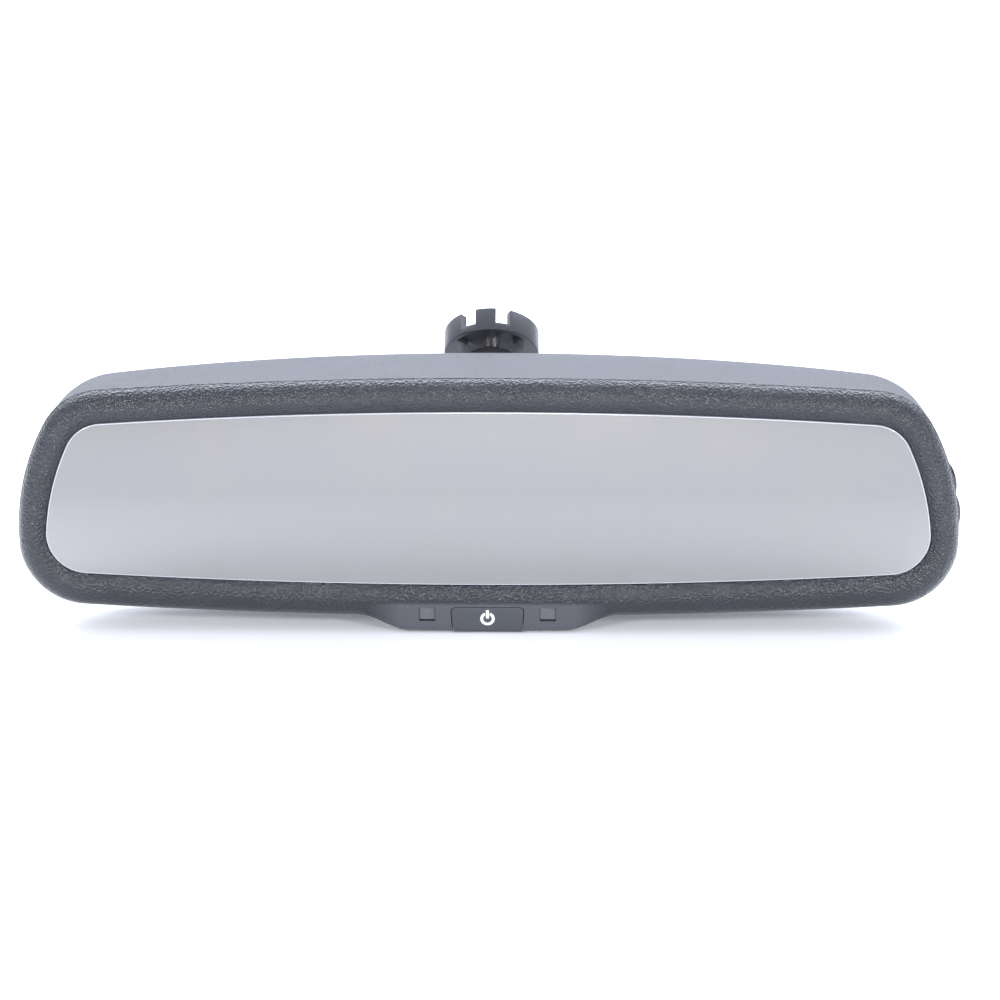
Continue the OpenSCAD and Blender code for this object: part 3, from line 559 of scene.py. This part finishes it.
# %% Arm tube
TUBE_R, TUBE_BORE, LIP_R, SEAT_R = 8.3, 7.0, 5.55, 6.06
seat = [(math.sqrt(SEAT_R ** 2 - w * w), w) for w in np.linspace(-2.3, 0, 7)]
half_bore = [(6.75, -RIM_W), (LIP_R + 0.1, -2.55), (LIP_R, -2.4)] + seat + [(TUBE_BORE, 0.0)]
rim = [(TUBE_R - 0.6 * (1 - math.sin(a)), -RIM_W + 0.6 * (1 - math.cos(a))) for a in np.linspace(0, math.pi / 2, 6)]
lower_half = [(7.0, -RIM_W)] + rim
upper_half = [(r, BALL_GAP - h) for r, h in lower_half[::-1]]
tube_profile = (lower_half + [(TUBE_R, 6.0), (TUBE_R - 0.25, 6.3), (TUBE_R - 0.25, 6.9), (TUBE_R, 7.2)]
                + [(TUBE_R, BALL_GAP - 7.2), (TUBE_R - 0.25, BALL_GAP - 6.9), (TUBE_R - 0.25, BALL_GAP - 6.3),
                   (TUBE_R, BALL_GAP - 6.0)]
                + upper_half + [(r, BALL_GAP - h) for r, h in half_bore] + half_bore[::-1])
arm_sleeve = lean(lathe("arm_sleeve", tube_profile), UPPER_BALL_W - BALL_GAP)
print("arm sleeve:", len(arm_sleeve.data.polygons), "faces")

# %% Mount socket
SOCKET_R, BORE_R, WEB_R, RING_R, STUD_HOLE, FOOT_R = 14.0, 11.6, 8.9, 13.0, 3.15, 0.6
FLOOR_W, MOUTH_W = (1.2, 2.4), 7.4
NOTCHES = [(-28.75, 19.5), (14.65, 17.5), (151.25, 19.5), (194.65, 17.5)]
POCKETS = [-2.5, 177.5]
foot = [(SOCKET_R - FOOT_R * (1 - math.sin(a)), FOOT_R * (1 - math.cos(a))) for a in np.linspace(0, math.pi / 2, 6)]
socket_profile = ([(STUD_HOLE, 0.0), (6.0, 0.0), (WEB_R, 0.0)] + foot
                  + [(SOCKET_R, 3.4), (SOCKET_R, 5.4), (SOCKET_R, MOUTH_W), (BORE_R, MOUTH_W), (BORE_R, 5.0),
                     (BORE_R, FLOOR_W[1]), (7.0, FLOOR_W[1]), (STUD_HOLE, FLOOR_W[1])])
crown_socket = lathe("crown_socket", socket_profile, 118)


def wedge(name, psi, half_angle, r_in, r_out, w0, w1, corner=0.0):
    """A sector cutter, about the direction psi from the top of the socket."""
    steps = 10
    angles = [psi - 90 + half_angle * (2 * i / steps - 1) for i in range(steps + 1)]
    outline = [turned(a, r_out) for a in angles] + [turned(a, r_in) for a in angles[::-1]]
    return plate(name, soft_corners(outline, corner, 4) if corner else outline, w0, w1, flat="XY")


dish = lathe("dish", [(0, -1), (WEB_R, -1), (WEB_R, FLOOR_W[0]), (0, FLOOR_W[0])], 118, closed=False)
cut(crown_socket, dish,
    *[wedge("pocket", psi, 47.5, 5.0, RING_R, -1, FLOOR_W[0]) for psi in POCKETS],
    *[wedge("notch", psi, width / 2, BORE_R - 1, 17, FLOOR_W[1], MOUTH_W + 1) for psi, width in NOTCHES])
edit(crown_socket)
bpy.ops.mesh.dissolve_limited(angle_limit=math.radians(0.5))
done()
round_edges(crown_socket, 0.28, 3, 40)
lean(crown_socket)
print("crown socket:", len(crown_socket.data.polygons), "faces")

# %% [markdown]
# ## Harness socket
# The plug's socket in the back is a plain box with a cavity and a latch ramp. Its solid is right as it stands, so a
# copy of the frame's own mesh is merged and its edges are rounded. The frame's mesh is loose triangles and stays as
# it is.

# %% Harness socket


def softened_copy(node, name, width):
    alone(nodes[node])
    bpy.ops.object.duplicate()
    piece = bpy.context.object
    piece.name = piece.data.name = name
    for key in list(piece.keys()):
        del piece[key]
    piece.parent = None
    edit(piece)
    bpy.ops.mesh.remove_doubles(threshold=1e-6)
    bpy.ops.mesh.select_all(action="SELECT")
    bpy.ops.mesh.dissolve_limited(angle_limit=math.radians(1))
    done()
    round_edges(piece, width, 2, 60)
    piece.data.transform(TO_FRAME.inverted())
    return piece


harness_box = softened_copy("harness_socket", "harness_box", 0.00025)
print("harness box:", len(harness_box.data.polygons), "faces")

# %% [markdown]
# ## Finishes
# Every finish is a Principled shader with its fixed numbers on its own sockets, and nodes only where something
# changes over the surface: grain as bump, gloss that varies with handling, faint dust and smudges. Noise on Object
# coordinates needs no unwrapping and stays with the piece when it moves.


# %% A finish and its tools
class Finish:
    """A Principled material and short ways to add to it."""

    def __init__(self, name, colour, roughness, metallic=0.0, **sockets):
        self.material = bpy.data.materials.new(name)
        self.material.use_nodes = True
        self.tree = self.material.node_tree
        self.shader = self.tree.nodes["Principled BSDF"]
        self.set("Base Color", (*colour, 1))
        self.set("Roughness", roughness)
        self.set("Metallic", metallic)
        for key, value in sockets.items():
            self.set(key.replace("_", " "), value)
        self.where = self.node("ShaderNodeTexCoord").outputs["Object"]

    def set(self, socket, value):
        self.shader.inputs[socket].default_value = value

    def link(self, output, socket):
        self.tree.links.new(output, self.shader.inputs[socket] if isinstance(socket, str) else socket)

    def node(self, kind, inputs=(), **settings):
        made = self.tree.nodes.new(kind)
        for key, value in settings.items():
            setattr(made, key, value)
        for key, value in dict(inputs).items():
            if isinstance(value, bpy.types.NodeSocket):
                self.tree.links.new(value, made.inputs[key])
            else:
                made.inputs[key].default_value = value
        return made

    def noise(self, size_mm, detail=2.0, rough=0.5, warp=0.0):
        return self.node("ShaderNodeTexNoise", {"Vector": self.where, "Scale": 1000 / size_mm, "Detail": detail,
                                                "Roughness": rough, "Distortion": warp}).outputs["Fac"]

    def cells(self, size_mm, smooth=0.5):
        return self.node("ShaderNodeTexVoronoi", {"Vector": self.where, "Scale": 1000 / size_mm, "Smoothness": smooth},
                         feature="SMOOTH_F1").outputs["Distance"]

    def remap(self, value, low, high, to_low, to_high):
        return self.node("ShaderNodeMapRange", {"Value": value, "From Min": low, "From Max": high, "To Min": to_low,
                                                "To Max": to_high}).outputs["Result"]

    def math(self, operation, a, b=0.0):
        return self.node("ShaderNodeMath", {0: a, 1: b}, operation=operation).outputs[0]

    def blend(self, factor, a, b):
        """Mixes two colours."""
        made = self.node("ShaderNodeMix", data_type="RGBA")
        for socket, value in zip((made.inputs[0], made.inputs[6], made.inputs[7]), (factor, a, b)):
            if isinstance(value, bpy.types.NodeSocket):
                self.tree.links.new(value, socket)
            else:
                socket.default_value = (*value, 1) if isinstance(value, tuple) else value
        return made.outputs[2]

    def vary_colour(self, factor, a, b):
        self.link(self.blend(factor, a, b), "Base Color")

    def vary_roughness(self, value, low, high, to_low, to_high):
        self.link(self.remap(value, low, high, to_low, to_high), "Roughness")

    def bump(self, height, depth_mm, strength=1.0):
        made = self.node("ShaderNodeBump", {"Height": height, "Distance": depth_mm * MM, "Strength": strength})
        self.link(made.outputs["Normal"], "Normal")
        return made


finishes = {}


def keep(slot, finish):
    finishes[slot] = finish.material
    return finish


# %% [markdown]
# ### Grained plastic
# Bezel and housing are moulded in a tool with an etched pebble grain, about a third of a millimetre across. Rounded
# cells with finer noise on top give the pebbles. On the chin the tool is polished, so a mask made from the height and
# the distance from the middle fades the grain out there. The same mask paints the chin's face a lighter grey, painted
# light for the light on its face, and the housing's black is lighter than the bezel's, a painted sheen for its top.


# %% Grained black
def grained(slot, name, colour, pebble_mm, depth_mm, roughness, shine, chin=False):
    f = keep(slot, Finish(name, colour, 0.5, Specular_IOR_Level=shine))
    pebbles, fine, dust = f.cells(pebble_mm, 0.6), f.noise(pebble_mm * 0.45, 2), f.noise(14, 4, 0.6)
    height = f.math("ADD", f.math("MULTIPLY", pebbles, 0.8), f.math("MULTIPLY", fine, 0.35))
    dust_and_chin_light = f.blend(f.remap(dust, 0.35, 0.7, 0.0, 1.0), colour, tuple(c * 1.35 for c in colour))
    f.vary_roughness(fine, 0.3, 0.7, *roughness)
    bump = f.bump(height, depth_mm)
    if chin:
        split = f.node("ShaderNodeSeparateXYZ", {0: f.where})
        x = f.math("ABSOLUTE", split.outputs["X"])
        middle = f.remap(x, 24 * MM, 33 * MM, 1.0, 0.0)
        below = f.remap(split.outputs["Z"], at(0, 0, -28.9).z, at(0, 0, -29.9).z, 0.0, 1.0)
        polished_and_lit_chin = f.math("MULTIPLY", middle, below)
        f.link(f.remap(polished_and_lit_chin, 0.0, 1.0, 1.0, 0.12), bump.inputs["Strength"])
        # painted light: the chin's face is painted a lighter grey than the bead, for the light that falls on it
        dust_and_chin_light = f.blend(polished_and_lit_chin, dust_and_chin_light, (0.066, 0.07, 0.082))
    f.link(dust_and_chin_light, "Base Color")
    return f


grained("grained_black", "grained_black_bezel", (0.011, 0.013, 0.018), 0.7, 0.4, (0.16, 0.28), 0.6, chin=True)
bezel_finish = finishes["grained_black"]
# painted sheen: the housing gets a lighter black than the bezel, for the pale sheen on its top
grained("grained_black", "grained_black_housing_painted_sheen", (0.030, 0.032, 0.040), 0.55, 0.16, (0.34, 0.5), 0.36)
print("grained finishes:", bezel_finish.name, finishes["grained_black"].name)

# %% [markdown]
# ### Mirror, rim and the clear pieces
# The mirror's coat sits behind clear glass. A metallic base with a clear coat on top gives both reflections without
# the noise of real layers. Faint warm smudges keep it from looking like a hole in the picture. The coat is painted
# lighter towards the lower edge: painted light that evens out a darker reflection there. The polished rim is given
# a light grey base, a painted highlight for the bright line that its edge catches.

# %% Glass finishes
mirror = Finish("mirror_face", (0.265, 0.26, 0.26), 0.03, 1.0, Coat_Weight=0.3, Coat_Roughness=0.02)
smudge = mirror.noise(28, 4, 0.6, 0.4)
height = mirror.node("ShaderNodeSeparateXYZ", {0: mirror.where}).outputs["Z"]
# painted light: the coat is lighter towards the lower edge, evening out a darker reflection there
painted_light_grade = mirror.blend(mirror.remap(height, at(0, 0, -25).z, at(0, 0, 2).z, 0.0, 1.0), (0.37, 0.36, 0.36), (0.26, 0.255, 0.255))
mirror.link(mirror.blend(mirror.remap(smudge, 0.5, 0.75, 0.0, 0.25), painted_light_grade, (0.3, 0.28, 0.24)), "Base Color")
mirror.vary_roughness(smudge, 0.4, 0.8, 0.2, 0.24)
# painted highlight: the rim's light grey base stands in for the bright line that its polished edge catches
rim_painted_highlight = Finish("rim_with_painted_highlight", (0.56, 0.57, 0.62), 0.08, 0.0, Coat_Weight=1.0, Coat_Roughness=0.03)
rim_painted_highlight.vary_roughness(rim_painted_highlight.noise(3), 0.3, 0.7, 0.06, 0.14)

smoke = keep("smoke_lens", Finish("frosted_smoke", (0.30, 0.30, 0.32), 0.32, Transmission_Weight=0.25, IOR=1.5))
smoke.vary_colour(smoke.noise(1.2, 3), (0.115, 0.115, 0.13), (0.16, 0.16, 0.18))
smoke.bump(smoke.noise(0.25, 2), 0.02)
clear = keep("clear_glass", Finish("clear_glass", (0.9, 0.92, 0.94), 0.03, Transmission_Weight=1.0, IOR=1.52))
clear.vary_roughness(clear.noise(20, 3), 0.3, 0.7, 0.02, 0.05)
coat = keep("mirror_coat", Finish("silver_coat", (0.7, 0.7, 0.74), 0.06, 1.0))
coat.vary_roughness(coat.noise(16, 3), 0.3, 0.7, 0.04, 0.1)
gel = keep("gel", Finish("dimming_gel", (0.72, 0.78, 0.74), 0.12, Transmission_Weight=0.6, IOR=1.42))
gel.vary_colour(gel.noise(30, 2), (0.7, 0.77, 0.72), (0.75, 0.8, 0.76))
led = keep("led_clear", Finish("clear_epoxy", (0.7, 0.85, 0.72), 0.08, Transmission_Weight=0.7, IOR=1.5))
led.vary_roughness(led.noise(1.0, 2), 0.3, 0.7, 0.05, 0.14)

# %% [markdown]
# ### Smooth plastics
# The key is fine satin black, the side keys are polished, and the power mark is white. Each gets a fine texture of
# its own and gloss that changes a little where fingers touch it.


# %% Plastics
def plastic(slot, name, colour, roughness, texture_mm, texture_depth, tone=0.12, **sockets):
    f = keep(slot, Finish(name, colour, roughness, **sockets))
    lighter = tuple(min(1.0, c * (1 + tone)) for c in colour)
    f.vary_colour(f.noise(6, 3), colour, lighter)
    f.vary_roughness(f.noise(3, 3), 0.3, 0.7, roughness * 0.85, min(1.0, roughness * 1.2))
    f.bump(f.noise(texture_mm, 2), texture_depth)
    return f


plastic("key_black", "satin_key", (0.050, 0.054, 0.065), 0.42, 0.22, 0.012)
plastic("gloss_black", "polished_key", (0.012, 0.012, 0.014), 0.14, 1.6, 0.008, Coat_Weight=0.5, Coat_Roughness=0.06)
plastic("symbol_white", "white_mark", (0.86, 0.87, 0.88), 0.4, 0.3, 0.006, tone=0.04)
plastic("seal_black", "seal_rubber", (0.015, 0.015, 0.016), 0.6, 0.4, 0.02)
plastic("white_plastic", "carrier_abs", (0.68, 0.68, 0.65), 0.45, 0.3, 0.012, tone=0.06)
plastic("nylon", "natural_nylon", (0.72, 0.69, 0.6), 0.38, 0.4, 0.01, tone=0.08, Subsurface_Weight=0.1)
plastic("socket_black", "connector_pbt", (0.02, 0.02, 0.022), 0.5, 0.25, 0.015)
plastic("chip_black", "chip_epoxy", (0.018, 0.018, 0.02), 0.55, 0.2, 0.012)
foam = plastic("foam", "closed_cell_foam", (0.13, 0.13, 0.135), 0.9, 0.35, 0.12, tone=0.3)
print("finishes so far:", len(finishes))

# %% [markdown]
# ### Metals
# The socket is a dark-coated zinc casting, the arm is painted black, and the studs, plates and springs are plated or
# bare. Cast and painted surfaces get a soft orange peel. Turned ones get fine rings from noise that is stretched
# along one axis.


# %% Metals
def metal(slot, name, colour, roughness, brushed_mm, depth_mm, stretch=(1, 1, 1), metallic=1.0, **sockets):
    f = keep(slot, Finish(name, colour, roughness, metallic, **sockets))
    mapping = f.node("ShaderNodeMapping", {"Vector": f.where, "Scale": stretch})
    lines = f.node("ShaderNodeTexNoise", {"Vector": mapping.outputs[0], "Scale": 1000 / brushed_mm,
                                          "Detail": 3.0}).outputs["Fac"]
    f.vary_roughness(lines, 0.3, 0.7, roughness * 0.75, roughness * 1.3)
    f.vary_colour(f.noise(5, 3), colour, tuple(min(1.0, c * 1.12) for c in colour))
    f.bump(lines, depth_mm)
    return f


metal("socket_metal", "coated_zinc", (0.024, 0.025, 0.031), 0.4, 0.5, 0.02, metallic=0.0, Coat_Weight=0.1,
      Coat_Roughness=0.3)
metal("arm_black", "painted_arm", (0.022, 0.022, 0.024), 0.38, 0.4, 0.015, metallic=0.0, Coat_Weight=0.2,
      Coat_Roughness=0.2)
metal("plated_steel", "plated_steel", (0.62, 0.62, 0.64), 0.22, 0.3, 0.004, (0.3, 0.3, 3))
metal("steel", "bare_steel", (0.5, 0.5, 0.52), 0.34, 0.25, 0.006, (0.2, 4, 4))
metal("spring_steel", "spring_steel", (0.42, 0.43, 0.46), 0.3, 0.2, 0.004)
metal("bus_metal", "tinned_bronze", (0.7, 0.6, 0.36), 0.3, 0.3, 0.004)
metal("can_metal", "capacitor_can", (0.6, 0.61, 0.63), 0.32, 0.4, 0.003, (1, 4, 1))
metal("pin_gold", "gilded_pins", (0.82, 0.62, 0.22), 0.24, 0.3, 0.003)

# %% [markdown]
# ### Boards and flat leads
# The circuit boards are green solder mask over copper: the mask is a little lighter where a track runs beneath it.
# Stretched noise cut off at a level draws such tracks. The flat leads have fine stripes along them.

# %% Boards
board = keep("board", Finish("solder_mask", (0.012, 0.09, 0.045), 0.32, Coat_Weight=0.4, Coat_Roughness=0.15))
stretched = board.node("ShaderNodeMapping", {"Vector": board.where, "Scale": (0.25, 1, 1.4)})
tracks = board.node("ShaderNodeTexNoise", {"Vector": stretched.outputs[0], "Scale": 480, "Detail": 1.0}).outputs["Fac"]
board.vary_colour(board.remap(tracks, 0.48, 0.53, 0.0, 1.0), (0.012, 0.09, 0.045), (0.03, 0.16, 0.075))
board.bump(tracks, 0.02)
lead = keep("flat_lead", Finish("flat_lead", (0.32, 0.13, 0.04), 0.35, Transmission_Weight=0.1))
stripes = lead.node("ShaderNodeTexWave", {"Vector": lead.where, "Scale": 320.0}, bands_direction="X").outputs["Fac"]
lead.vary_colour(stripes, (0.3, 0.12, 0.035), (0.5, 0.3, 0.12))
lead.bump(stripes, 0.02)
print("finishes:", sorted(finishes))

# %% [markdown]
# ## Putting the pieces on the frame
# Each finished mesh is taken to the frame's metres, shaded smooth up to its real edges, and handed to the body that
# carries it. The CAD nodes that it stands for are hidden.


# %% Ride and replace
def set_up(piece, body, slot, materials, *replaced, smooth=35):
    piece.data.transform(TO_FRAME)
    while len(piece.data.materials) < len(materials):
        piece.data.materials.append(None)
    for i, m in enumerate(materials):
        piece.data.materials[i] = m
    alone(piece)
    bpy.ops.object.shade_smooth_by_angle(angle=math.radians(smooth))
    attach(piece, body)
    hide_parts(*replaced)


set_up(bezel_skin, "head", "grained_black", [bezel_finish], "bezel")
set_up(housing_skin, "head", "grained_black", [finishes["grained_black"]], "rear_housing")
set_up(glass_pane, "head", "clear_glass", [mirror.material, rim_painted_highlight.material], "front_glass", smooth=50)
set_up(power_key_cap, "power_button", "key_black", [finishes["key_black"]], "power_key")
set_up(power_mark, "power_button", "symbol_white", [finishes["symbol_white"]], "power_symbol")
set_up(windows[1], "head", "smoke_lens", [finishes["smoke_lens"]], "sensor_window")
set_up(windows[-1], "head", "smoke_lens", [finishes["smoke_lens"]], "indicator_window")
for which, pad in side_key_pads.items():
    set_up(pad, f"{which}_side_button", "gloss_black", [finishes["gloss_black"]], f"{which}_side_key", smooth=50)
set_up(arm_sleeve, "arm", "arm_black", [finishes["arm_black"]], "arm_tube")
set_up(crown_socket, "socket", "socket_metal", [finishes["socket_metal"]], "mount_socket")
set_up(harness_box, "head", "socket_black", [finishes["socket_black"]], "harness_socket")

for name, node in nodes.items():
    for slot in node.material_slots:
        slot.material = finishes[slot.material.name.split(".")[0]]
print("finished nodes:", sum(not n.hide_render for n in nodes.values()), "shown of", len(nodes))

# %% [markdown]
# ## Floor, light and camera
# The mirror lies on its chin on a white table in a bright, slightly cool room. A broad light high behind it gives the
# top of the housing its pale sheen, and two soft ones in front draw glints on the bead. The head is what lies on the
# table, so the floor goes with the head.

# %% Floor
FLOOR_Z = -38.3
floor = add("floor", "plane", size=1)
floor.data.transform(Matrix.Translation(at(0, 0, FLOOR_Z)) @ Matrix.Scale(14, 4))
paper = Finish("white_table", (0.9, 0.9, 0.9), 0.85, Emission_Color=(0.92, 0.96, 1.08, 1), Emission_Strength=0.12)
paper.vary_colour(paper.noise(60, 3), (0.9, 0.9, 0.9), (0.92, 0.92, 0.92))
floor.data.materials.append(paper.material)
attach(floor, "head")


# %% Lights
def soft_light(name, where, size, power, colour=(1, 1, 1), target=(0, 20, 0)):
    """A rectangular soft light. where and target are millimetres at the glass, size is metres."""
    data = bpy.data.lights.new(name, "AREA")
    data.shape, data.size, data.size_y = "RECTANGLE", *size
    data.energy, data.color = power, colour
    lamp = bpy.data.objects.new(name, data)
    bpy.context.scene.collection.objects.link(lamp)
    lamp.location = at(*where)
    lamp.rotation_euler = (at(*target) - lamp.location).to_track_quat("-Z", "Y").to_euler()
    lamp.visible_camera = False
    return lamp


soft_light("back_softbox", (0, 700, 700), (1.8, 0.7), 18, (0.9, 0.95, 1.06))
soft_light("left_softbox", (-900, -1200, 620), (0.2, 0.2), 9)
soft_light("right_softbox", (900, -1200, 620), (0.2, 0.2), 10)
soft_light("front_softbox", (0, -1900, 400), (0.25, 0.12), 11)

# The room: bright above and behind, dim above the camera.
world = bpy.data.worlds.new("bright_room")
bpy.context.scene.world = world
world.use_nodes = True
tree = world.node_tree
room = {kind: tree.nodes.new(f"ShaderNode{kind}") for kind in ("TexCoord", "VectorMath", "MapRange")}
room["VectorMath"].operation = "DOT_PRODUCT"
room["VectorMath"].inputs[1].default_value = (0.0, 0.62, 0.78)
for key, value in (("From Min", -0.35), ("From Max", 0.75), ("To Min", 0.22), ("To Max", 1.6)):
    room["MapRange"].inputs[key].default_value = value
tree.links.new(room["TexCoord"].outputs["Generated"], room["VectorMath"].inputs[0])
tree.links.new(room["VectorMath"].outputs["Value"], room["MapRange"].inputs["Value"])
tree.links.new(room["MapRange"].outputs["Result"], tree.nodes["Background"].inputs["Strength"])
tree.nodes["Background"].inputs["Color"].default_value = (0.88, 0.93, 1.08, 1)
bpy.context.scene.view_settings.view_transform = "Standard"

# %% Camera
DOWN, ASIDE, ROLL = math.radians(17), math.radians(0.9), math.radians(0.15)
FOCAL_MM, SENSOR_MM, DISTANCE_MM, SIDE_MM = 85.0, 36.0, 636.5, 3.5
forward = Vector((-math.sin(ASIDE) * math.cos(DOWN), math.cos(ASIDE) * math.cos(DOWN), -math.sin(DOWN)))
right = Vector((math.cos(ASIDE), math.sin(ASIDE), 0))
up = right.cross(forward)
camera = bpy.data.objects.new("camera", bpy.data.cameras.new("camera"))
bpy.context.scene.collection.objects.link(camera)
camera.data.lens, camera.data.sensor_width = FOCAL_MM, SENSOR_MM
camera.data.clip_start, camera.data.clip_end = 0.01, 50
turn = Matrix((right, up, -forward)).transposed().to_4x4() @ Matrix.Rotation(-ROLL, 4, "Z")
camera.matrix_world = Matrix.Translation(at(*(right * SIDE_MM - forward * DISTANCE_MM))) @ turn
bpy.context.scene.camera = camera
